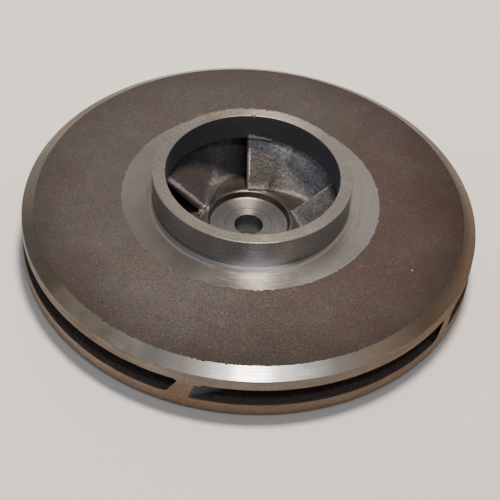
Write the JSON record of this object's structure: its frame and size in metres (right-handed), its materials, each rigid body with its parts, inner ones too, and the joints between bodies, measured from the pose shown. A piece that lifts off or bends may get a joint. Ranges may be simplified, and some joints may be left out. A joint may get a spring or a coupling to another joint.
{
  "type": "closed pump impeller",
  "caption": "Closed centrifugal pump impeller of cast iron: two shrouds with backward-curved vanes between them, a turned suction neck round the eye and a bored hub.",
  "frame": {"origin": "on the shaft axis, in the plane of the back face that the impeller rests on", "axes": "+Z along the shaft axis, out through the eye; +X and +Y across it, with the first vane's leading edge 96 degrees round from +X"},
  "size_m": [0.24, 0.24, 0.0512],
  "materials": {
    "cast_iron_outside": "as cast, browned, with light rust",
    "turned_iron": "turned, satin grey",
    "cast_iron_passage": "as cast, sand-grained, dark grey"
  },
  "bodies": {
    "root": {"back_shroud": "cast_iron_outside", "hub": "turned_iron", "front_shroud": "cast_iron_outside", "suction_neck": "turned_iron", "vane_1": "cast_iron_passage", "vane_2": "cast_iron_passage", "vane_3": "cast_iron_passage", "vane_4": "cast_iron_passage", "vane_5": "cast_iron_passage"}
  },
  "joints": []
}
